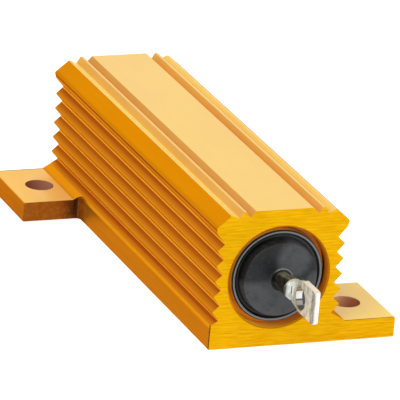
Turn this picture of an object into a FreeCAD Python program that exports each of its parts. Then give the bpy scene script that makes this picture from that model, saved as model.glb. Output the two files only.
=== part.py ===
import FreeCAD, Part
import os
import re

import Sketcher
from FreeCAD import Placement, Rotation, Vector

# An aluminium-housed wirewound resistor for chassis mounting. The finned housing lies along Y
# with its base on Z = 0, and its length, width and base are centred on the origin. The element
# runs through the bore, and each end of the resistor is the other one turned half round about Z.

os.makedirs("parts", exist_ok=True)
doc = FreeCAD.newDocument("braking_resistor")

SIZES = {
    # the housing's section, from the bore outwards
    "body_length": 50.0,
    "bore_radius": 5.87,
    "floor_thickness": 2.13,
    "crown_thickness": 2.03,
    "side_wall": 0.77,
    "fin_depth": 0.88,
    "fin_count": 5,
    "fin_lean": 0.56,
    "last_root_drop": 3.6,
    "shoulder_overhang": 0.32,
    "shoulder_foot_overhang": 0.12,
    "shoulder_drop": 1.73,
    "shoulder_foot_drop": 2.46,
    "shoulder_radius": 0.3,
    "ridge_drop": 0.4,
    "ridge_width": 0.28,
    "ridge_flank_run": 0.68,
    "tooth_width": 0.34,
    "tooth_flank_run": 0.44,
    "plateau_flank_run": 0.66,
    "top_groove_depth": 0.76,
    "plateau_half_width": 3.38,
    "extrusion_radius": 0.12,
    # the flange, what is milled away from it, and its holes
    "flange_thickness": 2.3,
    "flange_slope_rise": 1.1,
    "flange_slope_run": 1.8,
    "lug_reach": 6.96,
    "lug_length": 10.3,
    "cutter_radius": 0.6,
    "hole_from_edge": 3.76,
    "hole_from_end": 5.16,
    "hole_radius": 1.65,
    "bore_bevel": 0.15,
    "cut_overrun": 0.5,
    # the moulding that fills the bore, from its lip inwards
    "moulding_clearance": 0.02,
    "lip_recess": 0.37,
    "lip_gap": 0.55,
    "lip_gap_depth": 1.6,
    "lip_draft": 0.08,
    "lip_width": 0.3,
    "trough_depth": 0.38,
    "trough_slope": 0.15,
    "trough_width": 0.35,
    "button_draft": 0.24,
    "button_height": 0.62,
    "button_rise": 0.14,
    "button_bevel": 0.15,
    "collar_gap": 0.1,
    "collar_flank": 0.16,
    "collar_height": 0.14,
    # the wound element inside the moulding
    "element_clearance": 0.02,
    "core_radius": 2.6,
    "core_recess": 4.0,
    "core_bevel": 0.3,
    "cap_wall": 0.35,
    "cap_depth": 4.2,
    "ribbon_width": 1.3,
    "ribbon_thickness": 0.2,
    "winding_turns": 10,
    "winding_margin": 0.92,
    # the terminals, from the moulding's button to the eye's end
    "post_radius": 1.0,
    "post_length": 0.68,
    "swage_length": 2.8,
    "swage_radius": 1.18,
    "swage_rise": 0.3,
    "press_length": 0.55,
    "neck_half_width": 1.22,
    "flare_length": 2.55,
    "blade_length": 3.12,
    "blade_half_width": 1.93,
    "blade_rise": 0.5,
    "blade_thickness": 0.72,
    "blade_corner_radius": 0.3,
    "blade_edge_bevel": 0.1,
    "eye_offset": 2.2,
    "eye_rise": 0.25,
    "eye_radius": 1.22,
}

# Places that several features share, as expressions over the sizes.
END = "(body_length / 2)"
BORE_HEIGHT = "(floor_thickness + bore_radius)"
BODY_HEIGHT = f"({BORE_HEIGHT} + bore_radius + crown_thickness)"
FIN_ROOT = "(bore_radius + side_wall)"
FIN_TIP = f"({FIN_ROOT} + fin_depth)"
FIRST_ROOT_HEIGHT = "(flange_thickness + flange_slope_rise)"
LAST_ROOT_HEIGHT = f"({BODY_HEIGHT} - last_root_drop)"
FIN_PITCH = f"(({LAST_ROOT_HEIGHT} - {FIRST_ROOT_HEIGHT}) / fin_count)"
SECOND_ROOT_HEIGHT = f"({FIRST_ROOT_HEIGHT} + {FIN_PITCH})"
FLANGE_EDGE = f"({FIN_TIP} + lug_reach)"
BUTTON_FACE = f"({END} + button_height)"
CORE_END = f"({END} - core_recess)"
CORE_FIT = "(core_radius + element_clearance)"
CAP_FACE = f"({CORE_END} + element_clearance + cap_wall)"
CAP_MOUTH = f"({CAP_FACE} - cap_depth)"
SWAGE_START = f"({BUTTON_FACE} + post_length)"
SWAGE_END = f"({SWAGE_START} + swage_length)"
NECK = f"({SWAGE_END} + press_length)"

TOLERANCE = 1e-6
HALF_TURN = 180
FULL_TURN = 360

sheet = doc.addObject("Spreadsheet::Sheet", "sizes")
for row, (name, size) in enumerate(SIZES.items(), start=1):
    sheet.set(f"A{row}", name)
    sheet.set(f"B{row}", str(size))
    sheet.setAlias(f"B{row}", name)
doc.recompute()


def bound(text):
    """The expression with every size in it read from the sheet."""
    return re.sub(r"[a-z]+(_[a-z]+)+", r"sizes.\g<0>", text)


def value(text):
    """What an expression over the sizes comes to now."""
    return float(sheet.evalExpression(bound(text)))


def bind(feature, **expressions):
    """Ties a feature's properties to expressions over the sizes."""
    for name, text in expressions.items():
        feature.setExpression(name, bound(text))


def origin_feature(body, role):
    """A base plane or axis of the body's own origin."""
    return next(item for item in body.Origin.OriginFeatures if item.Role == role)


def new_body(name, height="0", turned=False):
    """A body whose own Y axis lies at a height, turned half round about Z where it is a rear one."""
    body = doc.addObject("PartDesign::Body", name)
    body.Label = name
    angle = HALF_TURN if turned else 0
    body.Placement = Placement(Vector(0, 0, value(height)), Rotation(Vector(0, 0, 1), angle))
    body.setExpression("Placement.Base.z", bound(height))
    return body


def new_sketch(body, name, plane, offset="0"):
    """A sketch on one of the body's base planes, moved along that plane's normal."""
    sketch = body.newObject("Sketcher::SketchObject", name)
    sketch.AttachmentSupport = [(origin_feature(body, plane), "")]
    sketch.MapMode = "FlatFace"
    sketch.AttachmentOffset = Placement(Vector(0, 0, value(offset)), Rotation())
    sketch.setExpression("AttachmentOffset.Base.z", bound(offset))
    return sketch


def hold_point(sketch, index, end, across, up):
    """Holds one end of an edge at a place given by two expressions."""
    for kind, text in (("DistanceX", across), ("DistanceY", up)):
        constraint = sketch.addConstraint(Sketcher.Constraint(kind, -1, 1, index, end, value(text)))
        sketch.setExpression(f"Constraints[{constraint}]", bound(text))


def add_polygon(sketch, corners):
    """A closed polygon with each corner held by its pair of expressions."""
    points = [Vector(value(across), value(up), 0) for across, up in corners]
    first = sketch.GeometryCount
    for start, end in zip(points, points[1:] + points[:1]):
        sketch.addGeometry(Part.LineSegment(start, end), False)
    for step, (across, up) in enumerate(corners):
        following = first + (step + 1) % len(corners)
        sketch.addConstraint(Sketcher.Constraint("Coincident", first + step, 2, following, 1))
        hold_point(sketch, first + step, 1, across, up)


def add_circle(sketch, across, up, radius):
    """A circle with its centre and radius held by expressions."""
    centre = Vector(value(across), value(up), 0)
    index = sketch.addGeometry(Part.Circle(centre, Vector(0, 0, 1), value(radius)), False)
    hold_point(sketch, index, 3, across, up)
    constraint = sketch.addConstraint(Sketcher.Constraint("Radius", index, value(radius)))
    sketch.setExpression(f"Constraints[{constraint}]", bound(radius))


def revolve(body, name, corners):
    """A solid turned about the body's own Y axis from corners given as length and radius."""
    sketch = new_sketch(body, f"{name}_section", "YZ_Plane")
    add_polygon(sketch, corners)
    turned = body.newObject("PartDesign::Revolution", name)
    turned.Profile = sketch
    turned.ReferenceAxis = (sketch, ["H_Axis"])
    turned.Angle = FULL_TURN
    doc.recompute()
    return turned


def chosen_edges(feature, wanted):
    """The names of the feature's edges that pass a test."""
    return [f"Edge{i}" for i, edge in enumerate(feature.Shape.Edges, start=1) if wanted(edge)]


def is_circle_at(edge, radius, along):
    """Whether an edge is a circle of this radius whose centre lies this far along Y, either way."""
    if not isinstance(edge.Curve, Part.Circle):
        return False
    same_size = abs(edge.Curve.Radius - radius) < TOLERANCE
    return same_size and abs(abs(edge.Curve.Center.y) - along) < TOLERANCE


def mirrored(corners):
    """The corners of one side followed back by those of the other side, mirrored in X."""
    return corners + [(f"-({across})", up) for across, up in reversed(corners)]


def make_housing():
    """The finned extrusion, with its bore, its two lugs and their holes."""
    body = new_body("housing")
    section = new_sketch(body, "housing_section", "XZ_Plane")
    groove_floor = f"{BODY_HEIGHT} - top_groove_depth"
    inner_floor = "plateau_half_width + plateau_flank_run"
    tooth = f"{inner_floor} + tooth_flank_run"
    outer_floor = f"{tooth} + tooth_width + tooth_flank_run"
    ridge = f"{outer_floor} + ridge_flank_run"
    add_polygon(section, mirrored([
        (FLANGE_EDGE, "0"),
        (FLANGE_EDGE, "flange_thickness"),
        (f"{FIN_ROOT} + flange_slope_run", "flange_thickness"),
        (FIN_ROOT, FIRST_ROOT_HEIGHT),
        (FIN_TIP, f"{FIRST_ROOT_HEIGHT} + {FIN_PITCH} * fin_lean"),
        (FIN_TIP, f"{LAST_ROOT_HEIGHT} - {FIN_PITCH} * (1 - fin_lean)"),
        (FIN_ROOT, LAST_ROOT_HEIGHT),
        (f"{FIN_TIP} + shoulder_foot_overhang", f"{BODY_HEIGHT} - shoulder_foot_drop"),
        (f"{FIN_TIP} + shoulder_overhang", f"{BODY_HEIGHT} - shoulder_drop"),
        (f"{ridge} + ridge_width", f"{BODY_HEIGHT} - ridge_drop"),
        (ridge, f"{BODY_HEIGHT} - ridge_drop"),
        (outer_floor, groove_floor),
        (f"{tooth} + tooth_width", BODY_HEIGHT),
        (tooth, BODY_HEIGHT),
        (inner_floor, groove_floor),
        ("plateau_half_width", BODY_HEIGHT),
    ]))
    blank = body.newObject("PartDesign::Pad", "extrusion")
    blank.Profile = section
    blank.SideType = "Symmetric"
    bind(blank, Length="body_length")

    groove = new_sketch(body, "fin_groove_section", "XZ_Plane")
    mouth = f"{FIN_PITCH} * (1 + cut_overrun / fin_depth)"
    for sign in ("", "-"):
        outside = f"{sign}({FIN_TIP} + cut_overrun)"
        add_polygon(groove, [
            (outside, f"{SECOND_ROOT_HEIGHT} - {mouth} * (1 - fin_lean)"),
            (outside, f"{SECOND_ROOT_HEIGHT} + {mouth} * fin_lean"),
            (f"{sign}{FIN_ROOT}", SECOND_ROOT_HEIGHT),
        ])
    cut = body.newObject("PartDesign::Pocket", "fin_groove")
    cut.Profile = groove
    cut.SideType = "Symmetric"
    bind(cut, Length="body_length")
    doc.recompute()
    fins = body.newObject("PartDesign::LinearPattern", "fins")
    fins.Originals = [cut]
    fins.Direction = (origin_feature(body, "Z_Axis"), [""])
    fins.Mode = "Spacing"
    bind(fins, Offset=FIN_PITCH, Occurrences="fin_count - 1")
    body.Tip = fins
    doc.recompute()

    rounded = body.newObject("PartDesign::Fillet", "extrusion_corners")
    length, shoulder = value("body_length"), value(f"{FIN_TIP} + shoulder_overhang")

    def is_corner(edge):
        return abs(edge.Length - length) < TOLERANCE

    def is_shoulder(edge):
        return is_corner(edge) and abs(abs(edge.CenterOfMass.x) - shoulder) < TOLERANCE

    rounded.Base = (fins, chosen_edges(fins, lambda edge: is_corner(edge) and not is_shoulder(edge)))
    bind(rounded, Radius="extrusion_radius")
    doc.recompute()
    tips = body.newObject("PartDesign::Fillet", "shoulder_tips")
    tips.Base = (rounded, chosen_edges(rounded, is_shoulder))
    bind(tips, Radius="shoulder_radius")
    doc.recompute()

    bore = new_sketch(body, "bore_circle", "XZ_Plane")
    add_circle(bore, "0", BORE_HEIGHT, "bore_radius")
    bored = body.newObject("PartDesign::Pocket", "bore")
    bored.Profile = bore
    bored.SideType = "Symmetric"
    bind(bored, Length="body_length")
    doc.recompute()

    milled = new_sketch(body, "flange_cut_outline", "XY_Plane")
    add_polygon(milled, [
        (f"-({FLANGE_EDGE} + cut_overrun)", f"-({END} + cut_overrun)"),
        (f"-{FIN_TIP}", f"-({END} + cut_overrun)"),
        (f"-{FIN_TIP}", f"{END} - lug_length"),
        (f"-({FLANGE_EDGE} + cut_overrun)", f"{END} - lug_length"),
    ])
    side_cut = body.newObject("PartDesign::Pocket", "flange_cut")
    side_cut.Profile = milled
    side_cut.Reversed = True
    bind(side_cut, Length=FIRST_ROOT_HEIGHT)
    hole = new_sketch(body, "lug_hole_circle", "XY_Plane")
    add_circle(hole, f"{FLANGE_EDGE} - hole_from_edge", f"-({END} - hole_from_end)", "hole_radius")
    drilled = body.newObject("PartDesign::Pocket", "lug_hole")
    drilled.Profile = hole
    drilled.Reversed = True
    bind(drilled, Length=FIRST_ROOT_HEIGHT)
    doc.recompute()
    both = body.newObject("PartDesign::PolarPattern", "both_ends")
    both.Originals = [side_cut, drilled]
    both.Axis = (origin_feature(body, "Z_Axis"), [""])
    both.Angle = FULL_TURN
    both.Occurrences = 2
    body.Tip = both
    doc.recompute()

    inner = body.newObject("PartDesign::Fillet", "cutter_corners")
    tip, lug = value(FIN_TIP), value(f"{END} - lug_length")

    def in_lug_corner(edge):
        middle = edge.CenterOfMass
        upright = abs(edge.BoundBox.ZLength - edge.Length) < TOLERANCE
        return upright and abs(abs(middle.x) - tip) < TOLERANCE and abs(abs(middle.y) - lug) < TOLERANCE

    inner.Base = (both, chosen_edges(both, in_lug_corner))
    bind(inner, Radius="cutter_radius")
    doc.recompute()

    mouths = body.newObject("PartDesign::Chamfer", "bore_mouths")
    radius, end = value("bore_radius"), value(END)
    mouths.Base = (inner, chosen_edges(inner, lambda edge: is_circle_at(edge, radius, end)))
    bind(mouths, Size="bore_bevel")
    doc.recompute()
    return body


def make_moulding():
    """The black moulding, which holds the element in the bore and closes it at both ends."""
    body = new_body("moulding", BORE_HEIGHT)
    hole = "post_radius + element_clearance"
    cavity = f"{CORE_FIT} + max(cap_wall; ribbon_thickness) + element_clearance"
    cavity_end = f"{CAP_FACE} + element_clearance"
    outside = "bore_radius - moulding_clearance"
    lip_outer = f"{outside} - lip_gap"
    lip_inner = f"{lip_outer} - lip_width"
    trough_outer = f"{lip_inner} - trough_slope"
    button_foot = f"{trough_outer} - trough_width"
    button = f"{button_foot} - button_draft"
    middle = f"{BUTTON_FACE} + button_rise"
    end = [
        (cavity_end, hole),
        (middle, hole),
        (middle, f"{hole} + collar_gap"),
        (f"{middle} + collar_height", f"{hole} + collar_gap + collar_flank"),
        (middle, f"{hole} + collar_gap + 2 * collar_flank"),
        (BUTTON_FACE, button),
        (f"{END} - lip_recess - trough_depth", button_foot),
        (f"{END} - lip_recess - trough_depth", trough_outer),
        (f"{END} - lip_recess", lip_inner),
        (f"{END} - lip_recess", lip_outer),
        (f"{END} - lip_gap_depth", f"{lip_outer} + lip_draft"),
        (f"{END} - lip_gap_depth", outside),
    ]
    corners = [(cavity_end, cavity)] + end
    corners += [(f"-({along})", radius) for along, radius in reversed(corners)]
    turned = revolve(body, "moulded_form", corners)
    edges = body.newObject("PartDesign::Chamfer", "button_edges")
    radius, along = value(button), value(BUTTON_FACE)
    edges.Base = (turned, chosen_edges(turned, lambda edge: is_circle_at(edge, radius, along)))
    bind(edges, Size="button_bevel")
    doc.recompute()
    return body


def make_core():
    """The ceramic rod that the wire is wound on."""
    body = new_body("ceramic_core", BORE_HEIGHT)
    half = [
        (CORE_END, "0"),
        (CORE_END, "core_radius - core_bevel"),
        (f"{CORE_END} - core_bevel", "core_radius"),
    ]
    revolve(body, "rod", half + [(f"-({along})", radius) for along, radius in reversed(half)])
    return body


def make_cap(name, turned):
    """A drawn metal cap, pressed over one end of the core."""
    body = new_body(name, BORE_HEIGHT, turned)
    revolve(body, f"{name}_form", [
        (f"-{CAP_FACE}", "0"),
        (f"-{CAP_FACE}", f"{CORE_FIT} + cap_wall"),
        (f"-{CAP_MOUTH}", f"{CORE_FIT} + cap_wall"),
        (f"-{CAP_MOUTH}", CORE_FIT),
        (f"-({CAP_FACE} - cap_wall)", CORE_FIT),
        (f"-({CAP_FACE} - cap_wall)", "0"),
    ])
    return body


def make_winding():
    """The resistance ribbon, one layer of open turns on the core between the caps."""
    length = f"(2 * ({CAP_MOUTH} - winding_margin) - ribbon_width)"
    helix = doc.addObject("Part::Helix", "ribbon_path")
    radius = f"{CORE_FIT} + ribbon_thickness / 2"
    bind(helix, Pitch=f"{length} / winding_turns", Height=length, Radius=radius)
    section = doc.addObject("Sketcher::SketchObject", "ribbon_section")
    section.Placement = Placement(Vector(), Rotation(Vector(1, 0, 0), 90))
    add_polygon(section, [
        (CORE_FIT, "-ribbon_width / 2"),
        (f"{CORE_FIT} + ribbon_thickness", "-ribbon_width / 2"),
        (f"{CORE_FIT} + ribbon_thickness", "ribbon_width / 2"),
        (CORE_FIT, "ribbon_width / 2"),
    ])
    doc.recompute()
    ribbon = doc.addObject("Part::Sweep", "resistance_winding")
    ribbon.Label = "resistance_winding"
    ribbon.Sections = [section]
    ribbon.Spine = (helix, [f"Edge{i}" for i in range(1, len(helix.Shape.Edges) + 1)])
    ribbon.Solid = True
    ribbon.Frenet = True
    place = Vector(0, value(f"-{length} / 2"), value(BORE_HEIGHT))
    ribbon.Placement = Placement(place, Rotation(Vector(1, 0, 0), -90))
    ribbon.setExpression("Placement.Base.y", bound(f"-{length} / 2"))
    ribbon.setExpression("Placement.Base.z", bound(BORE_HEIGHT))
    doc.recompute()
    return ribbon


def make_terminal(name, turned):
    """A tinned pin, round where it leaves the moulding and pressed flat into an eye."""
    body = new_body(name, BORE_HEIGHT, turned)
    post_circle = new_sketch(body, f"{name}_post_circle", "XZ_Plane", CAP_FACE)
    add_circle(post_circle, "0", "0", "post_radius")
    post = body.newObject("PartDesign::Pad", f"{name}_post")
    post.Profile = post_circle
    bind(post, Length=f"{SWAGE_START} - {CAP_FACE}")
    doc.recompute()

    root = new_sketch(body, f"{name}_swage_root", "XZ_Plane", SWAGE_START)
    add_circle(root, "0", "0", "post_radius")
    crest = new_sketch(body, f"{name}_swage_crest", "XZ_Plane", SWAGE_END)
    add_circle(crest, "0", "swage_rise", "swage_radius")
    swage = body.newObject("PartDesign::AdditiveLoft", f"{name}_swage")
    swage.Profile = root
    swage.Sections = [crest]
    doc.recompute()

    stub_circle = new_sketch(body, f"{name}_stub_circle", "XZ_Plane", SWAGE_END)
    add_circle(stub_circle, "0", "swage_rise", "swage_radius")
    stub = body.newObject("PartDesign::Pad", f"{name}_stub")
    stub.Profile = stub_circle
    bind(stub, Length="press_length")
    doc.recompute()
    flats = new_sketch(body, f"{name}_flats_outline", "XY_Plane")
    for sign in ("", "-"):
        add_polygon(flats, [
            (f"{sign}swage_radius", f"-{SWAGE_END}"),
            (f"{sign}blade_thickness / 2", f"-{NECK}"),
            (f"{sign}(swage_radius + cut_overrun)", f"-{NECK}"),
            (f"{sign}(swage_radius + cut_overrun)", f"-{SWAGE_END}"),
        ])
    pressed = body.newObject("PartDesign::Pocket", f"{name}_flats")
    pressed.Profile = flats
    pressed.SideType = "Symmetric"
    bind(pressed, Length="2 * (swage_radius + swage_rise + cut_overrun)")
    doc.recompute()

    outline = new_sketch(body, f"{name}_blade_outline", "YZ_Plane")
    shoulder = f"-({NECK} + flare_length)"
    tip = f"({NECK} + flare_length + blade_length)"
    add_polygon(outline, [
        (f"-{NECK}", "swage_rise - neck_half_width"),
        (shoulder, "blade_rise - blade_half_width"),
        (f"-{tip}", "blade_rise - blade_half_width"),
        (f"-{tip}", "blade_rise + blade_half_width"),
        (shoulder, "blade_rise + blade_half_width"),
        (f"-{NECK}", "swage_rise + neck_half_width"),
    ])
    add_circle(outline, f"-({NECK} + eye_offset)", "eye_rise", "eye_radius")
    blade = body.newObject("PartDesign::Pad", f"{name}_blade")
    blade.Profile = outline
    blade.SideType = "Symmetric"
    bind(blade, Length="blade_thickness")
    doc.recompute()

    corners = body.newObject("PartDesign::Fillet", f"{name}_blade_corners")
    thickness, end = value("blade_thickness"), value(tip)

    def at_tip(edge):
        across = abs(edge.Length - thickness) < TOLERANCE
        return across and abs(abs(edge.CenterOfMass.y) - end) < TOLERANCE

    corners.Base = (blade, chosen_edges(blade, at_tip))
    bind(corners, Radius="blade_corner_radius")
    doc.recompute()

    eased = body.newObject("PartDesign::Chamfer", f"{name}_blade_edges")
    neck = value(NECK)

    def on_outline(edge):
        box = edge.BoundBox
        on_face = abs(abs(edge.CenterOfMass.x) - thickness / 2) < TOLERANCE and box.XLength < TOLERANCE
        past_neck = min(abs(box.YMin), abs(box.YMax)) > neck + TOLERANCE
        return on_face and past_neck and not edge.isClosed()

    eased.Base = (corners, chosen_edges(corners, on_outline))
    bind(eased, Size="blade_edge_bevel")
    doc.recompute()
    return body


make_housing()
make_moulding()
make_core()
make_cap("end_cap_front", False)
make_cap("end_cap_rear", True)
make_winding()
make_terminal("terminal_front", False)
make_terminal("terminal_rear", True)
doc.recompute()

NODES = [
    "housing",
    "moulding",
    "ceramic_core",
    "resistance_winding",
    "end_cap_front",
    "end_cap_rear",
    "terminal_front",
    "terminal_rear",
]

failed = [item.Name for item in doc.Objects if {"Invalid", "Error"} & set(item.State)]
if failed:
    raise RuntimeError(f"features that failed: {failed}")
for node in NODES:
    shape = doc.getObject(node).Shape
    if shape.isNull() or not shape.isValid() or len(shape.Solids) != 1:
        raise RuntimeError(f"{node} is not one valid solid")
    print(node, "volume", round(shape.Volume, 3), "faces", len(shape.Faces))
for node in NODES:
    doc.getObject(node).Shape.exportStep(f"parts/{node}.step")
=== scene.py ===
import math

import bmesh
import bpy
from mathutils import Matrix, Vector


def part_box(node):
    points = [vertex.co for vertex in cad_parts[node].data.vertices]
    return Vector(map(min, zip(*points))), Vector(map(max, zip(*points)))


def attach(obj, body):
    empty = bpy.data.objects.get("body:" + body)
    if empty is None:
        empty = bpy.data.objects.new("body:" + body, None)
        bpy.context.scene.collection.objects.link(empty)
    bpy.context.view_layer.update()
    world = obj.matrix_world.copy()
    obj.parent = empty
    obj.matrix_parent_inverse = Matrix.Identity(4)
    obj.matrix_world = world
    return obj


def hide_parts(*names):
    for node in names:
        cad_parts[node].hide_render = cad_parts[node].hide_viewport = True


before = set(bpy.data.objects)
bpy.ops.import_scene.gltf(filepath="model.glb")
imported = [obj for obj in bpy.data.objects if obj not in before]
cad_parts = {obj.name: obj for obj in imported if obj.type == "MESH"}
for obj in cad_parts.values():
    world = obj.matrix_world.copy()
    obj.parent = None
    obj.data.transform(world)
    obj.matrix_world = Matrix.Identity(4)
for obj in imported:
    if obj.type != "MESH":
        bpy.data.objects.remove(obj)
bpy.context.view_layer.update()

# An aluminium-housed wirewound resistor in a gold anodised, finned extrusion. Its front terminal points
# along -Y, towards the camera, and the base rests on Z = 0. Lengths are in metres, colours are linear,
# and left and right are as the camera sees them.
MM = 0.001

# The photograph's camera, fitted to points measured on the front face, the ridges and the lugs.
PHOTO_SIZE = 400
CAMERA_AZIMUTH = math.radians(-23.77)
CAMERA_ELEVATION = math.radians(20.64)
CAMERA_ROLL = math.radians(5.22)
CAMERA_DISTANCE = 596.9 * MM
FOCAL_PIXELS = 5305.8
AIM_HEIGHT = 8.0 * MM
AIM_ACROSS = 0.753 * MM
AIM_ABOVE = -0.558 * MM
SENSOR_WIDTH = 36.0
NEAREST_SEEN = 0.01

# Places on the section and the terminals that the finishes follow. The outermost are read from the frame.
HOUSING_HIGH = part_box("housing")[1]
HALF_LENGTH, HALF_WIDTH, BODY_HEIGHT = HOUSING_HIGH.y, HOUSING_HIGH.x, HOUSING_HIGH.z
BORE_HEIGHT, BORE_RADIUS, BORE_BEVEL = 8.0 * MM, 5.87 * MM, 0.15 * MM
FIN_ROOT, FIN_TIP = 6.64 * MM, 7.52 * MM
FIRST_TIP, LAST_ROOT = 3.8 * MM, BODY_HEIGHT - 3.6 * MM
SHOULDER_TIP, SHOULDER_FOOT = BODY_HEIGHT - 1.73 * MM, BODY_HEIGHT - 2.46 * MM
GROOVE_FLOOR = BODY_HEIGHT - 0.76 * MM
GROOVE_WALLS = 4.2 * MM, 4.6 * MM
INNER_RIDGE = 4 * MM, 5.2 * MM
RIDGE_OUTER_FLANK, RIDGE_INNER_EDGE = 5.22 * MM, 5.94 * MM
FLANGE_TOP, FLANGE_EDGE_TOP = 2.3 * MM, 3 * MM
LUG_INNER = HALF_LENGTH - 10.3 * MM
HOLE_ACROSS, HOLE_ALONG, HOLE_RADIUS = HALF_WIDTH - 3.76 * MM, HALF_LENGTH - 5.16 * MM, 1.65 * MM
TERMINAL_REACH = -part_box("terminal_front")[0].y
POST_END, NECK = TERMINAL_REACH - 6.22 * MM, TERMINAL_REACH - 5.67 * MM
EYE_ALONG, EYE_HEIGHT, EYE_RADIUS = NECK + 2.2 * MM, BORE_HEIGHT + 0.25 * MM, 1.22 * MM

# The moulding's outline, from its middle outwards, and how much its corners are eased.
MOULDING_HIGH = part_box("moulding")[1]
MOULDING_RADIUS, COLLAR_CREST = MOULDING_HIGH.x, MOULDING_HIGH.y
COLLAR_FOOT, BUTTON_FACE = COLLAR_CREST - 0.14 * MM, COLLAR_CREST - 0.28 * MM
LIP_CREST = HALF_LENGTH - 0.37 * MM
TROUGH_FLOOR, GAP_FLOOR = LIP_CREST - 0.38 * MM, HALF_LENGTH - 1.6 * MM
LIP_OUTER = MOULDING_RADIUS - 0.55 * MM
LIP_INNER, LIP_FOOT = LIP_OUTER - 0.3 * MM, LIP_OUTER + 0.08 * MM
TROUGH_OUTER = LIP_INNER - 0.15 * MM
BUTTON_FOOT = TROUGH_OUTER - 0.35 * MM
BUTTON_EDGE = BUTTON_FOOT - 0.24 * MM
POST_HOLE = 1.02 * MM
COLLAR_INNER, COLLAR_MIDDLE = POST_HOLE + 0.1 * MM, POST_HOLE + 0.26 * MM
COLLAR_OUTER = POST_HOLE + 0.42 * MM
CAVITY_RADIUS, CAVITY_END = 2.99 * MM, HALF_LENGTH - 3.61 * MM
SHARP, EASED, LIP_ROUND, BUTTON_ROUND = 0.05 * MM, 0.1 * MM, 0.12 * MM, 0.2 * MM
ARC_STEPS, TURN_STEPS = 4, 128

# How far one finish takes to turn into the next, next to nothing where it has to be sharp, and how wide the
# bright lines along the teeth are.
FADE = 0.1 * MM
NEARLY = 0.02 * MM
TOOTH_LINE = 0.06 * MM

# The part of a face's normal along an axis where a finish for faces turned that way starts and is full.
FACING_END, FACING_UP, FACING_SIDE = (0.8, 0.95), (0.82, 0.95), (0.3, 0.05)
FACING_FLANGE_SHADE, FACING_FOOT, FACING_BEVEL = (0.3, 0.1), (0.35, 0.1), (0.2, 0.6)
FACING_ALONG, FACING_BLADE_TOP, FACING_POST_TOP = (0.35, 0.7), (0.4, 0.7), (0.7, 1.0)

# How far a normal turns while a finish changes from one side to the other, and how much less level a face
# counts for leaning outwards.
TURN, LEAN = 0.1, -0.2

# The places where a finish starts and where it is full.
OFF_LUG = HALF_WIDTH - 1 * MM, HALF_WIDTH - 2 * MM
FLANGE_SHADE_ALONG = LUG_INNER - 3.4 * MM, LUG_INNER - FADE
FLANGE_SHADE_OUT = FIN_TIP + 9 * FADE, FIN_TIP + 3 * FADE
PALE_ACROSS = 1.8 * MM - HALF_WIDTH, 4.5 * MM - HALF_WIDTH
PALE_ALONG = HALF_LENGTH - 0.5 * MM, HALF_LENGTH - 5 * MM
PALE_OUT = FIN_TIP + 1.2 * MM, FIN_TIP + 3.5 * MM
MILLED_OUT = FIN_TIP, FIN_TIP + 3 * MM
SHADE_ACROSS = BORE_RADIUS - 0.57 * MM, BORE_RADIUS - 0.12 * MM
SHADE_ALONG = HALF_LENGTH - 0.9 * MM, HALF_LENGTH - 1.4 * MM
HOLE_OUT, HOLE_DARK = (-1.2 * MM, 1.2 * MM), (-1.1 * MM, -1.55 * MM)
TROUGH_RIGHTWARD, GAP_REFLECTION_RIGHTWARD = (-2.5 * MM, 0.5 * MM), (0, 2 * MM)
PRESSED_RIM = 0.86 * MM, 1.04 * MM

# The places between which a narrow mark lies.
COLLAR_RING = COLLAR_MIDDLE - 0.04 * MM, COLLAR_MIDDLE + 0.06 * MM
FOLD = NECK, NECK + 0.22 * MM
SLIT_OUT, SLIT_UP = (0.44 * MM, 0.49 * MM), (0.05 * MM, 0.85 * MM)

# The gold finish's colours, from the teeth on the sides to the bore and the holes.
# Painted light and shade on the teeth: flanks that look down and up are coloured apart and turn from root to
# tip, and the root and tip lines are painted highlights.
UNDER_ROOT, UNDER_TIP = (0.83, 0.375, 0.003), (0.34, 0.095, 0.001)
OVER_ROOT, OVER_TIP = (0.53, 0.128, 0.011), (0.80, 0.285, 0.018)
ROOT_HIGHLIGHT, TIP_HIGHLIGHT = (0.98, 0.52, 0.06), (0.98, 0.46, 0.06)
# The flange's upright edge, painted darker than the skin as painted shade, more so away from the body.
FLANGE_EDGE_NEAR, FLANGE_EDGE_FAR = (0.47, 0.17, 0.015), (0.40, 0.125, 0.012)
# The crease's painted highlight, the painted shade on the flange beside the lugs, and the dark line at the
# flange's end.
CREASE_HIGHLIGHT, FLANGE_SHADE, END_LINE = (0.76, 0.28, 0.002), (0.15, 0.026, 0.001), (0.03, 0.010, 0.004)
# Painted shade round the shoulder's foot, and the chamfer's painted light and shade: darker low down and
# where it looks right.
FOOT_LOW, FOOT_HIGH = (0.54, 0.20, 0.025), (0.22, 0.035, 0.001)
CHAMFER_LOW_SHADED, CHAMFER_RIGHT_SHADED, CHAMFER_LEFT_LIT = (0.62, 0.22, 0.006), (0.72, 0.27, 0.0015), (0.93, 0.335, 0.0015)
# The grooves' walls and slopes are lit and shaded copies, coloured by which way they look, and the outer
# ridges' flanks carry a painted sheen where they look right.
WALL_INNER, WALL_OUTER = (0.88, 0.465, 0.122), (0.98, 0.55, 0.148)
SLOPE_RIGHT, SLOPE_LEFT = (0.86, 0.42, 0.085), (0.93, 0.54, 0.135)
FLANK_RIGHT_SHEEN, FLANK_LEFT = (1.0, 0.90, 0.22), (0.86, 0.53, 0.055)
LAND, RIDGE = (0.78, 0.46, 0.006), (0.79, 0.40, 0.004)
# The lugs' tops are lit and shaded copies: the right one is painted brighter to stand in for the light that
# the body keeps off it.
LUG_RIGHT, LUG_LEFT, LUG_RIM = (1.0, 0.66, 0.004), (0.87, 0.48, 0.005), (0.20, 0.10, 0.02)
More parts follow.
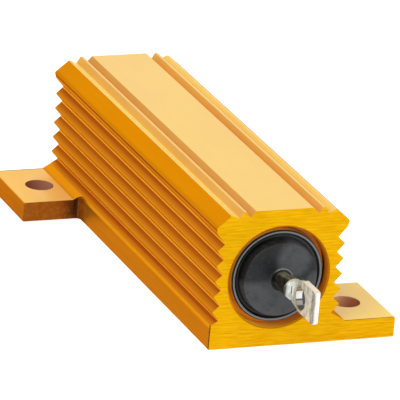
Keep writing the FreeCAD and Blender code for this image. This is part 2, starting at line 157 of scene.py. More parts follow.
# Beside the body the left lug's top has a painted sheen that turns to painted shade towards the body.
LUG_SHEEN_NEAR, LUG_SHEEN_FAR = (0.88, 0.47, 0.11), (0.88, 0.53, 0.15)
SKIN_LINE, SKIN_CLOUD = (0.92, 0.50, 0.08), (0.62, 0.20, 0.006)
SCORE_DARK, SCORE_LIGHT = (0.68, 0.345, 0.001), (0.87, 0.50, 0.006)
# The milled faces are painted dark as painted shade, darkest in the corner by the body; the mill marks are
# their own.
MILLED_NEAR, MILLED_FAR, MILL_MARK = (0.035, 0.014, 0.008), (0.30, 0.085, 0.008), (0.36, 0.13, 0.015)
# The bore's wall and bevel are lit and shaded copies: painted lighter on the left and deeper in, and darker
# on the right and on the bevel below.
MOUTH_LEFT, MOUTH_RIGHT = (1.0, 0.50, 0.003), (0.70, 0.22, 0.002)
DEEP_LEFT, DEEP_RIGHT, DEEP_SHADE = (1.0, 0.60, 0.10), (0.78, 0.27, 0.03), (0.06, 0.025, 0.008)
BEVEL_LEFT, BEVEL_RIGHT, BEVEL_BELOW = (0.85, 0.31, 0.008), (0.55, 0.18, 0.004), (0.58, 0.20, 0.004)
# The holes' walls are lit and shaded copies: the left one dark, the right one painted light.
LEFT_HOLE, RIGHT_HOLE_DARK = (0.40, 0.18, 0.11), (0.40, 0.17, 0.08)
RIGHT_HOLE_INNER, RIGHT_HOLE_OUTER = (1.0, 0.60, 0.22), (0.62, 0.29, 0.20)
GOLD_TINT = (1.0, 0.6, 0.15)

# The black finish's colours, from the button's face to the gap round the lip.
BUTTON, PAINTED_SHEEN, SPECK = (0.008, 0.009, 0.010), (0.065, 0.070, 0.076), (0.12, 0.125, 0.13)
# Painted highlights on the collar's upper right and along the lip.
COLLAR_HIGHLIGHT, LIP_HIGHLIGHT = (0.22, 0.22, 0.21), (0.21, 0.225, 0.225)
# The trough in painted shade on the left and painted light on the right.
TROUGH_LEFT_SHADE, TROUGH_RIGHT_LIT = (0.003, 0.003, 0.003), (0.024, 0.024, 0.024)
# A painted gold reflection of the bore on the moulding in the gap round the lip; on the right it is darker
# near the lip as painted shade.
GAP_REFLECTION_SHALLOW, GAP_REFLECTION_DEEP = (0.80, 0.48, 0.12), (0.98, 0.42, 0.01)
FAR_GAP_REFLECTION_INNER, FAR_GAP_REFLECTION_OUTER = (0.55, 0.24, 0.06), (1.0, 0.34, 0.015)
LIP_SIDE = (0.03, 0.018, 0.008)

# The painted sheen on the button's face, standing in for its reflections. The low one is given by how far
# above the middle it starts and is full, and the round ones by their places right of and above the middle and
# the radii where they end and are full.
LOW_SHEEN = 0.3 * MM, -0.7 * MM
HIGH_SHEEN = 1.4 * MM, 2.3 * MM, 2.6 * MM, 1.3 * MM
SIDE_SHEEN = 4.0 * MM, -0.2 * MM, 1.3 * MM, 0.5 * MM

# The tinned finish's colours: the blade, the faces that look along it, the post and the inside of the eye.
BLADE_DULL, BLADE_BRIGHT, BLADE_SPECK = (0.42, 0.43, 0.37), (0.86, 0.87, 0.78), (0.18, 0.18, 0.13)
BLADE_WORN, BLADE_TOP_HIGHLIGHT, BLADE_FOLD = (0.22, 0.21, 0.17), (0.84, 0.84, 0.74), (0.92, 0.93, 0.86)
PRESSED_DULL, PRESSED_BRIGHT, PRESSED_EDGE_SHADE = (0.40, 0.42, 0.37), (0.80, 0.81, 0.77), (0.06, 0.055, 0.04)
SLIT, CUT_BRIGHT, CUT_DARK_EDGE = (0.03, 0.03, 0.02), (0.86, 0.85, 0.82), (0.22, 0.20, 0.15)
# The post is painted dark for its reflection of the black moulding, mottled, with a painted highlight on the
# faces that look up.
POST_DARK, POST_LIGHT = (0.012, 0.010, 0.007), (0.06, 0.052, 0.035)
POST_HIGHLIGHT_DULL, POST_HIGHLIGHT_BRIGHT = (0.10, 0.09, 0.06), (0.36, 0.33, 0.23)
# The eye's wall: painted light in its middle and painted shade above and below, with lines between.
EYE_BRIGHT, EYE_ROOF, EYE_ROOF_LINE = (0.88, 0.87, 0.84), (0.10, 0.06, 0.02), (0.40, 0.28, 0.12)
EYE_FLOOR, EYE_FLOOR_LINE, EYE_BROWN = (0.10, 0.10, 0.08), (0.45, 0.45, 0.40), (0.20, 0.15, 0.08)

# The pieces that are sealed inside the moulding: colour, metallic and roughness.
CERAMIC = (0.86, 0.84, 0.78), 0.0, 0.7
RIBBON = (0.5, 0.47, 0.43), 1.0, 0.45
CAP_STEEL = (0.6, 0.6, 0.6), 1.0, 0.35
GRAIN_SHADE = 0.85

# The sizes of the finishes' marks along X, Y and Z, in millimetres.
DRAWN_LINES, SKIN_CLOUDS = (0.12, 30, 0.12), (6, 14, 6)
SAW_LINES, SAW_GRAIN, MILL_MARKS = (4, 1, 0.13), (2.2, 1, 0.15), (0.4, 0.4, 0.4)
BLACK_FLOW, BLACK_SPECKS = (1.5, 1.5, 1.1), (0.3, 0.3, 0.3)
TIN_CLOUDS, TIN_SPECKS, TIN_STAINS = (0.5, 0.45, 0.9), (0.2, 0.16, 0.35), (0.35, 1.2, 0.35)
SEALED_GRAIN = (0.4, 0.4, 0.4)

# The part of a noise's range that a pattern is spread over.
CLOUDY, DRAWN, SCORED, MARKED = (0.3, 0.7), (0.45, 0.8), (0.34, 0.66), (0.42, 0.72)
FLOWING, SPECKLED = (0.3, 0.65), (0.55, 0.75)
TIN_CLOUDY, TIN_PRESSED, TIN_SPECKLED = (0.36, 0.66), (0.35, 0.7), (0.56, 0.72)
TIN_WORN, POST_STAINED, POST_TOP_STAINED = (0.3, 0.6), (0.4, 0.65), (0.35, 0.6)

# How strong the patterns are. Two strengths are those at the ends of the pattern's noise.
LINES_STRENGTH, CLOUDS_STRENGTH = 0.2, 0.12
SHEEN_STRENGTH, SPECKS_STRENGTH = (0.6, 1.05), 0.2
WORN_STRENGTH, TIN_SPECKS_STRENGTH, EYE_BROWN_STRENGTH = (0.3, 0.9), 0.5, 0.75
RAGGEDNESS = 0.3 * MM

# How the finishes shine, and how deep their marks are. Of two roughnesses, the second is for paler places.
GOLD_METALLIC, SKIN_ROUGHNESS, SAWN_ROUGHNESS = 0.75, 0.42, 0.6
COAT_WEIGHT, COAT_ROUGHNESS, LEFT_LUG_LOSS = 0.95, 0.3, 0.33
BLACK_SPECULAR, BLACK_ROUGHNESS = 0.25, (0.25, 0.42)
TIN_METALLIC, TIN_ROUGHNESS = 0.6, (0.5, 0.36)
GOLD_RELIEF, BLACK_RELIEF, TIN_RELIEF = 0.004 * MM, 0.03 * MM, 0.03 * MM
FINE_RELIEF = 0.3

WHITE = (1, 1, 1)
FLOOR_SIZE = 100.0
FLOOR_COLOUR = (0.85, 0.85, 0.85)
FLOOR_LIFT = 0.46
SKY_STRENGTH = 0.6


def direction(azimuth, elevation):
    """The unit vector towards a place seen at an azimuth from -Y, turning towards +X, and an elevation."""
    level = math.cos(elevation)
    return Vector((math.sin(azimuth) * level, -math.cos(azimuth) * level, math.sin(elevation)))


def make_camera():
    """The camera at the photograph's viewing angle, turned a little about its own axis."""
    back = direction(CAMERA_AZIMUTH, CAMERA_ELEVATION)
    level = Vector((math.cos(CAMERA_AZIMUTH), math.sin(CAMERA_AZIMUTH), 0))
    upright = back.cross(level)
    right = level * math.cos(CAMERA_ROLL) + upright * math.sin(CAMERA_ROLL)
    up = upright * math.cos(CAMERA_ROLL) - level * math.sin(CAMERA_ROLL)
    place = Vector((0, 0, AIM_HEIGHT)) + right * AIM_ACROSS + up * AIM_ABOVE + back * CAMERA_DISTANCE
    lens = bpy.data.cameras.new("camera")
    lens.sensor_width = SENSOR_WIDTH
    lens.lens = FOCAL_PIXELS * SENSOR_WIDTH / PHOTO_SIZE
    lens.clip_start, lens.clip_end = NEAREST_SEEN, 2 * FLOOR_SIZE
    camera = bpy.data.objects.new("camera", lens)
    camera.matrix_world = Matrix.Translation(place) @ Matrix((right, up, back)).transposed().to_4x4()
    bpy.context.scene.collection.objects.link(camera)
    bpy.context.scene.camera = camera


def make_lamp(name, azimuth, elevation, distance, size, radiance):
    """A soft square lamp of a given brightness that shines at the resistor from a direction in degrees."""
    lamp = bpy.data.lights.new(name, "AREA")
    lamp.shape = "SQUARE"
    lamp.size = size
    lamp.energy = radiance * math.pi * size * size
    holder = bpy.data.objects.new(name, lamp)
    towards = direction(math.radians(azimuth), math.radians(elevation))
    holder.location = Vector((0, 0, AIM_HEIGHT)) + towards * distance
    holder.rotation_euler = towards.to_track_quat("Z", "Y").to_euler()
    holder.visible_camera = False
    bpy.context.scene.collection.objects.link(holder)


class Shade:
    """A material's node tree, with short ways to add the nodes that its surface needs."""

    def __init__(self, name):
        self.material = bpy.data.materials.new(name)
        self.material.use_nodes = True
        self.tree = self.material.node_tree
        self.shader = self.tree.nodes["Principled BSDF"]
        self.places = self.add("ShaderNodeTexCoord").outputs
        self.colour = None

    def add(self, kind, **settings):
        """A new node with these settings."""
        node = self.tree.nodes.new(kind)
        for name, setting in settings.items():
            setattr(node, name, setting)
        return node

    def feed(self, socket, source):
        """Links an output to a socket, or sets the socket to a plain value or an opaque colour."""
        if isinstance(source, bpy.types.NodeSocket):
            self.tree.links.new(source, socket)
        elif isinstance(source, tuple):
            socket.default_value = (*source, 1)
        else:
            socket.default_value = source

    def sums(self, operation, *values, clamp=False):
        """One Math node's result."""
        node = self.add("ShaderNodeMath", operation=operation, use_clamp=clamp)
        for socket, source in zip(node.inputs, values):
            self.feed(socket, source)
        return node.outputs[0]

    def chain(self, operation, first, *others):
        """One operation carried out over several values in turn."""
        for other in others:
            first = self.sums(operation, first, other)
        return first

    def times(self, *values):
        """The product of these values, which is where all of several masks are full."""
        return self.chain("MULTIPLY", *values)

    def plus(self, *values):
        """The sum of these values."""
        return self.chain("ADD", *values)

    def most(self, *values):
        """The largest of these values, which is where any of several masks is full."""
        return self.chain("MAXIMUM", *values)

    def less(self, value, taken):
        """A mask with another one taken away."""
        return self.sums("SUBTRACT", value, taken, clamp=True)

    def beyond(self, value, start):
        """How far a value is past a start."""
        return self.sums("SUBTRACT", value, start)

    def size(self, value):
        """A value without its sign."""
        return self.sums("ABSOLUTE", value)

    def ramp(self, value, start, full, bottom=0.0, top=1.0):
        """Value carried smoothly from the range start-full to the range bottom-top, and held beyond it."""
        node = self.add("ShaderNodeMapRange", interpolation_type="SMOOTHSTEP")
        for socket, source in zip(node.inputs, (value, start, full, bottom, top)):
            self.feed(socket, source)
        return node.outputs[0]

    def within(self, value, low, high, soft):
        """1 between low and high and 0 outside them, with a soft edge."""
        return self.times(self.ramp(value, low - soft, low), self.ramp(value, high + soft, high))

    def distance(self, *offsets):
        """The length of the vector with these parts."""
        return self.sums("SQRT", self.plus(*[self.times(offset, offset) for offset in offsets]))

    def split(self, vector):
        """A vector's three parts."""
        node = self.add("ShaderNodeSeparateXYZ")
        self.feed(node.inputs[0], vector)
        return node.outputs

    def blend(self, factor, first, second):
        """A colour between two others."""
        node = self.add("ShaderNodeMix", data_type="RGBA")
        self.feed(node.inputs["Factor"], factor)
        self.feed(node.inputs[6], first)
        self.feed(node.inputs[7], second)
        return node.outputs[2]

    def paint(self, mask, colour):
        """Lays a colour over what is painted so far, wherever the mask is full."""
        self.colour = self.blend(mask, self.colour, colour)

    def noise(self, sizes, detail=3.0, roughness=0.55):
        """Soft noise between 0 and 1 whose features have these sizes in millimetres along X, Y and Z."""
        mapping = self.add("ShaderNodeMapping")
        self.feed(mapping.inputs["Vector"], self.places["Object"])
        mapping.inputs["Scale"].default_value = [1 / (size * MM) for size in sizes]
        node = self.add("ShaderNodeTexNoise")
        self.feed(node.inputs["Vector"], mapping.outputs[0])
        node.inputs["Scale"].default_value = 1.0
        node.inputs["Detail"].default_value = detail
        node.inputs["Roughness"].default_value = roughness
        return node.outputs["Fac"]

    def bump(self, height, depth):
        """Gives the shader a surface relief of a height map and a depth in metres."""
        node = self.add("ShaderNodeBump")
        node.inputs["Strength"].default_value = 1.0
        node.inputs["Distance"].default_value = depth
        self.feed(node.inputs["Height"], height)
        self.feed(self.shader.inputs["Normal"], node.outputs[0])

    def give(self, **values):
        """Sets or feeds the shader's sockets, named with _ for a space."""
        for name, source in values.items():
            self.feed(self.shader.inputs[name.replace("_", " ")], source)


class Finish(Shade):
    """A finish that follows the places on the part and the way its faces look.

    Its right is that of someone who faces the nearer end.
    """

    def __init__(self, name):
        super().__init__(name)
        self.across, self.along, self.height = self.split(self.places["Object"])
        self.look_across, self.look_along, self.look_up = self.split(self.places["Normal"])
        self.side, self.reach = self.size(self.across), self.size(self.along)
        self.right = self.times(self.across, self.sums("SIGN", self.along), -1.0)
        self.above = self.beyond(self.height, BORE_HEIGHT)


class Gold(Finish):
    """Gold anodised aluminium: satin extruded skin, finely scored sawn ends and milled faces, with light and
    shade painted into the colour.
    """

    def __init__(self):
        super().__init__("gold_anodised")
        self.hand = self.sums("SIGN", self.across)
        self.to_end = self.ramp(self.size(self.look_along), *FACING_END)
        at_end = self.ramp(self.reach, HALF_LENGTH - 2 * NEARLY, HALF_LENGTH - NEARLY)
        self.sawn = self.times(self.to_end, at_end)
        leaning = self.times(self.hand, self.look_across, LEAN)
        self.level = self.ramp(self.plus(self.look_up, leaning), *FACING_UP)
        self.upright = self.ramp(self.size(self.look_up), *FACING_SIDE)
        self.rising = self.ramp(self.look_up, -TURN, TURN)
        self.leftward = self.ramp(self.look_across, TURN, -TURN)
        self.on_flange = self.ramp(self.height, FLANGE_EDGE_TOP, FLANGE_EDGE_TOP - 4 * FADE)
        self.drawn_lines = self.noise(DRAWN_LINES)
        self.saw_lines = self.noise(SAW_LINES)
        self.plain_skin = [self.level]

    def paint_plain(self, mask, colour):
        """Paints a place on the skin that isn't metallic, so that it keeps its colour when seen edge on."""
        self.paint(mask, colour)
        self.plain_skin.append(mask)

    def paint_teeth(self):
        """The teeth in painted light and shade: flanks that look down and up coloured apart from root to tip,
        with a painted highlight along the roots and the tips.
        """
        under = self.blend(self.ramp(self.side, FIN_ROOT - FADE, FIN_TIP), UNDER_ROOT, UNDER_TIP)
        over = self.blend(self.ramp(self.side, FIN_ROOT + 2 * FADE, FIN_TIP - FADE), OVER_ROOT, OVER_TIP)
        self.colour = self.blend(self.rising, under, over)
        # Painted highlights along the teeth's roots and tips.
        at_root = self.ramp(self.side, FIN_ROOT + 2 * TOOTH_LINE, FIN_ROOT + TOOTH_LINE)
        below_last = self.ramp(self.height, LAST_ROOT + 3 * FADE, LAST_ROOT + 2 * FADE)
        self.paint(self.times(at_root, below_last), ROOT_HIGHLIGHT)
        at_tip = self.within(self.side, FIN_TIP - TOOTH_LINE / 2, FIN_TIP + NEARLY, NEARLY)
        above_first = self.ramp(self.height, FIRST_TIP - 2 * FADE, FIRST_TIP)
        self.paint(self.times(at_tip, above_first), TIP_HIGHLIGHT)

    def paint_flange(self):
        """The flange's upright edge in painted shade, a painted highlight along the crease above it, painted
        shade beside a lug and a line at the end.
        """
        # Painted shade on the flange's upright edge.
        edge = self.times(self.upright, self.ramp(self.height, FLANGE_EDGE_TOP + 2 * FADE, FLANGE_EDGE_TOP))
        out = self.ramp(self.side, FIN_TIP, HALF_WIDTH)
        self.paint(edge, self.blend(out, FLANGE_EDGE_NEAR, FLANGE_EDGE_FAR))
        # A painted highlight along the crease above the flange.
        crease = self.within(self.height, FLANGE_TOP + 2 * FADE, FLANGE_TOP + 5 * FADE, 1.5 * FADE)
        off_lug = self.ramp(self.side, *OFF_LUG)
        self.paint_plain(self.times(crease, off_lug), CREASE_HIGHLIGHT)
        # Painted shade on the flange where it runs up to each lug.
        lug_side = self.ramp(self.times(self.hand, self.sums("SIGN", self.along)), 0.5, -0.5)
        near_lug = self.ramp(self.reach, *FLANGE_SHADE_ALONG)
        near_body = self.ramp(self.side, *FLANGE_SHADE_OUT)
        turned = self.less(self.ramp(self.size(self.look_up), *FACING_FLANGE_SHADE), self.to_end)
        self.paint_plain(self.times(lug_side, self.on_flange, near_lug, near_body, turned), FLANGE_SHADE)
        at_end = self.ramp(self.reach, HALF_LENGTH - 3.5 * FADE, HALF_LENGTH - 2 * FADE)
        on_body = self.ramp(self.side, FIN_TIP + 4 * FADE, FIN_TIP + 2 * FADE)
        self.paint_plain(self.times(at_end, on_body, edge), END_LINE)

    def paint_shoulder(self):
        """The chamfer that runs down from the top, in painted light and shade, and the painted shade round
        its foot.
        """
        # Painted shade round the shoulder's foot, darkest at its top.
        on_foot = self.within(self.height, SHOULDER_FOOT, SHOULDER_TIP, TOOTH_LINE)
        foot = self.times(on_foot, self.ramp(self.look_up, *FACING_FOOT))
        up = self.ramp(self.height, SHOULDER_FOOT + 2.6 * FADE, SHOULDER_FOOT + 4 * FADE)
        self.paint(foot, self.blend(up, FOOT_LOW, FOOT_HIGH))
        # The chamfer painted lighter where it looks left and darker low down, as painted light and shade.
        chamfer = self.times(self.rising, self.ramp(self.height, SHOULDER_FOOT, SHOULDER_FOOT + 4 * FADE))
        upper = self.blend(self.leftward, CHAMFER_RIGHT_SHADED, CHAMFER_LEFT_LIT)
        up = self.ramp(self.height, SHOULDER_TIP - FADE / 2, SHOULDER_TIP + 3 * FADE)
        self.paint(chamfer, self.blend(up, CHAMFER_LOW_SHADED, upper))

    def paint_top(self):
        """The grooves' walls and slopes in painted light and shade by the way they look, the land and ridges,
        and a painted sheen on the flank of each outer ridge.
        """
        inner = self.ramp(self.times(self.hand, self.look_across), TURN, -TURN)
        groove = self.times(self.ramp(self.height, GROOVE_FLOOR - FADE, GROOVE_FLOOR),
                            self.ramp(self.side, RIDGE_INNER_EDGE, RIDGE_INNER_EDGE - FADE))
        wall = self.blend(self.ramp(self.side, *GROOVE_WALLS), WALL_INNER, WALL_OUTER)
        # The grooves' walls and slopes, painted lighter and darker by which way they look, as painted light
        # and shade.
        self.paint(groove, self.blend(inner, wall, self.blend(self.leftward, SLOPE_RIGHT, SLOPE_LEFT)))
        self.paint(self.level, self.blend(self.within(self.side, *INNER_RIDGE, 3 * FADE), LAND, RIDGE))
        # A painted sheen on the outer ridges' flanks, palest where they look right.
        flank = self.within(self.side, RIDGE_OUTER_FLANK, RIDGE_INNER_EDGE, FADE / 2)
        flank = self.times(flank, groove, inner)
        self.paint_plain(flank, self.blend(self.leftward, FLANK_RIGHT_SHEEN, FLANK_LEFT))

    def paint_lugs(self):
        """The lugs' tops with a dark rim, the right one painted brighter, the left with painted sheen and
        shade beside the body. Returns how thin the coat is.
        """
        lug_top = self.times(self.level, self.on_flange)
        left_lug = self.times(lug_top, self.ramp(self.across, 0, -1 * MM))
        self.paint(lug_top, self.blend(left_lug, LUG_RIGHT, LUG_LEFT))
        # Painted sheen on the left lug's top beside the body, darker towards it as painted shade.
        beside = self.times(left_lug, self.ramp(self.across, *PALE_ACROSS),
                            self.ramp(self.reach, *PALE_ALONG))
        self.paint(beside, self.blend(self.ramp(self.side, *PALE_OUT), LUG_SHEEN_NEAR, LUG_SHEEN_FAR))
        side_rim = self.ramp(self.side, HALF_WIDTH - FADE, HALF_WIDTH - FADE / 2)
        end_rim = self.ramp(self.reach, HALF_LENGTH - 2 * FADE, HALF_LENGTH - FADE)
        rim = self.times(self.most(side_rim, end_rim), lug_top)
        self.paint(rim, LUG_RIM)
        return self.most(self.times(left_lug, LEFT_LUG_LOSS), rim, beside)

    def paint_grain(self):
        """Faint drawing lines and clouds over the whole skin."""
        clouds = self.ramp(self.noise(SKIN_CLOUDS), *CLOUDY)
        self.paint(self.ramp(self.drawn_lines, *DRAWN, 0, LINES_STRENGTH), SKIN_LINE)
        self.paint(self.times(clouds, CLOUDS_STRENGTH), SKIN_CLOUD)

    def paint_ends(self):
        """The sawn ends, scored across, and the milled faces that look along the body beside the lugs, in
        painted shade that deepens towards the body.
        """
        scores = self.times(self.plus(self.saw_lines, self.noise(SAW_GRAIN, detail=2)), 0.5)
        self.paint(self.sawn, self.blend(self.ramp(scores, *SCORED), SCORE_DARK, SCORE_LIGHT))
        # Painted shade on the milled faces, deepest near the body, with mill marks over it.
        out = self.ramp(self.side, *MILLED_OUT)
        marks = self.ramp(self.noise(MILL_MARKS, detail=5), *MARKED)
        worked = self.blend(self.times(marks, out), self.blend(out, MILLED_NEAR, MILLED_FAR), MILL_MARK)
        self.paint(self.less(self.to_end, self.sawn), worked)

    def paint_bore(self):
        """The bore's wall and the bevel at its mouth in painted light and shade: lighter on the left and
        deeper in, with painted shade deep down at the right. Returns their mask.
        """
        from_axis = self.distance(self.across, self.above)
        bore = self.ramp(from_axis, BORE_RADIUS + BORE_BEVEL + NEARLY, BORE_RADIUS + BORE_BEVEL)
        rightward = self.ramp(self.across, -BORE_RADIUS, BORE_RADIUS)
        # Painted light and shade on the bore: lighter on the left and deeper in, darker on the right.
        deep = self.ramp(self.reach, HALF_LENGTH - FADE, HALF_LENGTH - 6 * FADE)
        mouth_wall = self.blend(rightward, MOUTH_LEFT, MOUTH_RIGHT)
        deep_wall = self.blend(rightward, DEEP_LEFT, DEEP_RIGHT)
        shaded = self.times(self.ramp(self.across, *SHADE_ACROSS), self.ramp(self.reach, *SHADE_ALONG))
        wall = self.blend(shaded, self.blend(deep, mouth_wall, deep_wall), DEEP_SHADE)
        bevel = self.blend(rightward, BEVEL_LEFT, BEVEL_RIGHT)
        bevel = self.blend(self.ramp(self.look_up, *FACING_BEVEL), bevel, BEVEL_BELOW)
        at_mouth = self.ramp(from_axis, BORE_RADIUS + NEARLY, BORE_RADIUS + 2 * NEARLY)
        self.paint(bore, self.blend(at_mouth, wall, bevel))
        return bore

    def paint_holes(self):
        """The wall of each lug's hole, lit and shaded copies: the left one dark, the right one painted light,
        darker outwards and at its inner edge. Returns its mask.
        """
        from_hole = self.distance(self.beyond(self.side, HOLE_ACROSS), self.beyond(self.reach, HOLE_ALONG))
        hole = self.times(self.upright, self.ramp(from_hole, HOLE_RADIUS + FADE, HOLE_RADIUS + NEARLY))
        # The right hole painted light towards the body, darker outwards, and dark at the edge nearest the
        # body.
        out = self.beyond(self.across, HOLE_ACROSS)
        right_hole = self.blend(self.ramp(out, *HOLE_OUT), RIGHT_HOLE_INNER, RIGHT_HOLE_OUTER)
        right_hole = self.blend(self.ramp(out, *HOLE_DARK), right_hole, RIGHT_HOLE_DARK)
        self.paint(hole, self.blend(self.ramp(self.across, -1 * MM, 1 * MM), LEFT_HOLE, right_hole))
        return hole


def make_gold():
    """The housing's finish. Level faces are plain under a clear coat, so they stay golden from every side."""
    gold = Gold()
    gold.paint_teeth()
    gold.paint_flange()
    gold.paint_shoulder()
    gold.paint_top()
    thin = gold.paint_lugs()
    gold.paint_grain()
    gold.paint_ends()
    bore = gold.paint_bore()
    hole = gold.paint_holes()
    plain = gold.most(bore, hole, gold.less(gold.most(*gold.plain_skin), gold.to_end))
    coated = gold.less(gold.level, gold.most(bore, thin))
    gold.give(Base_Color=gold.colour, Metallic=gold.ramp(plain, 0, 1, GOLD_METALLIC, 0),
              Roughness=gold.ramp(gold.sawn, 0, 1, SKIN_ROUGHNESS, SAWN_ROUGHNESS),
              Specular_IOR_Level=0.0, Specular_Tint=GOLD_TINT,
              Coat_Weight=gold.times(coated, COAT_WEIGHT), Coat_Roughness=COAT_ROUGHNESS)
    relief = gold.plus(gold.times(gold.saw_lines, gold.sawn), gold.times(gold.drawn_lines, FINE_RELIEF))
    gold.bump(relief, GOLD_RELIEF)
    return gold.material


def make_black():
    """Black moulding compound: a button with painted sheen, a trough in painted shade and light, a lip with a
    painted highlight, and a painted gold reflection in the gap round it.
    """
    black = Finish("black_moulding")
    from_axis = black.distance(black.right, black.above)
    flow = black.noise(BLACK_FLOW, detail=6, roughness=0.65)
    fine = black.noise(BLACK_SPECKS, detail=4)

    # Painted sheen on the button's face, low down and in two round patches, broken up by the flow noise.
    sheens = [black.ramp(black.above, *LOW_SHEEN)]
    for right, above, end, full in (HIGH_SHEEN, SIDE_SHEEN):
        from_sheen = black.distance(black.beyond(black.right, right), black.beyond(black.above, above))
        sheens.append(black.ramp(from_sheen, end, full))
    sheen = black.times(black.most(*sheens), black.ramp(flow, *FLOWING, *SHEEN_STRENGTH))
    black.colour = black.blend(sheen, BUTTON, PAINTED_SHEEN)
    black.paint(black.times(black.ramp(fine, *SPECKLED), SPECKS_STRENGTH), SPECK)
    # A painted highlight on the collar's ring, on its upper right.
    collar = black.within(from_axis, *COLLAR_RING, FADE / 2)
    upper = black.ramp(black.above, 2 * FADE, 8 * FADE)
    rightward = black.ramp(black.right, -11 * FADE, -4 * FADE)
    black.paint(black.times(collar, upper, rightward), COLLAR_HIGHLIGHT)
    # The trough in painted shade on the left and painted light on the right.
    trough = black.blend(black.ramp(black.right, *TROUGH_RIGHTWARD), TROUGH_LEFT_SHADE, TROUGH_RIGHT_LIT)
    black.paint(black.ramp(from_axis, BUTTON_FOOT - FADE, BUTTON_FOOT), trough)
    # A painted highlight along the lip.
    black.paint(black.within(from_axis, LIP_INNER, LIP_OUTER - LIP_ROUND, 2 * NEARLY), LIP_HIGHLIGHT)

    # A painted gold reflection of the bore on the lip's outer side and the gap's floor, darker near the lip
    # on the right as painted shade.
    depth = black.beyond(LIP_CREST, black.reach)
    gap_reflection = black.blend(black.ramp(depth, 4.5 * FADE, 9.5 * FADE), GAP_REFLECTION_SHALLOW, GAP_REFLECTION_DEEP)
    outwards = black.ramp(from_axis, LIP_OUTER + FADE / 2, LIP_OUTER + 5 * FADE)
    far_gap_reflection = black.blend(outwards, FAR_GAP_REFLECTION_INNER, FAR_GAP_REFLECTION_OUTER)
    gap_reflection = black.blend(black.ramp(black.right, *GAP_REFLECTION_RIGHTWARD), gap_reflection, far_gap_reflection)
    gap = black.blend(black.ramp(depth, 1.5 * FADE, 3.5 * FADE), LIP_SIDE, gap_reflection)
    black.paint(black.ramp(from_axis, LIP_OUTER - NEARLY, LIP_OUTER), gap)
    black.give(Base_Color=black.colour, Specular_IOR_Level=BLACK_SPECULAR,
               Roughness=black.ramp(flow, *CLOUDY, *BLACK_ROUGHNESS))
    black.bump(black.plus(flow, black.times(fine, FINE_RELIEF)), BLACK_RELIEF)
    return black.material


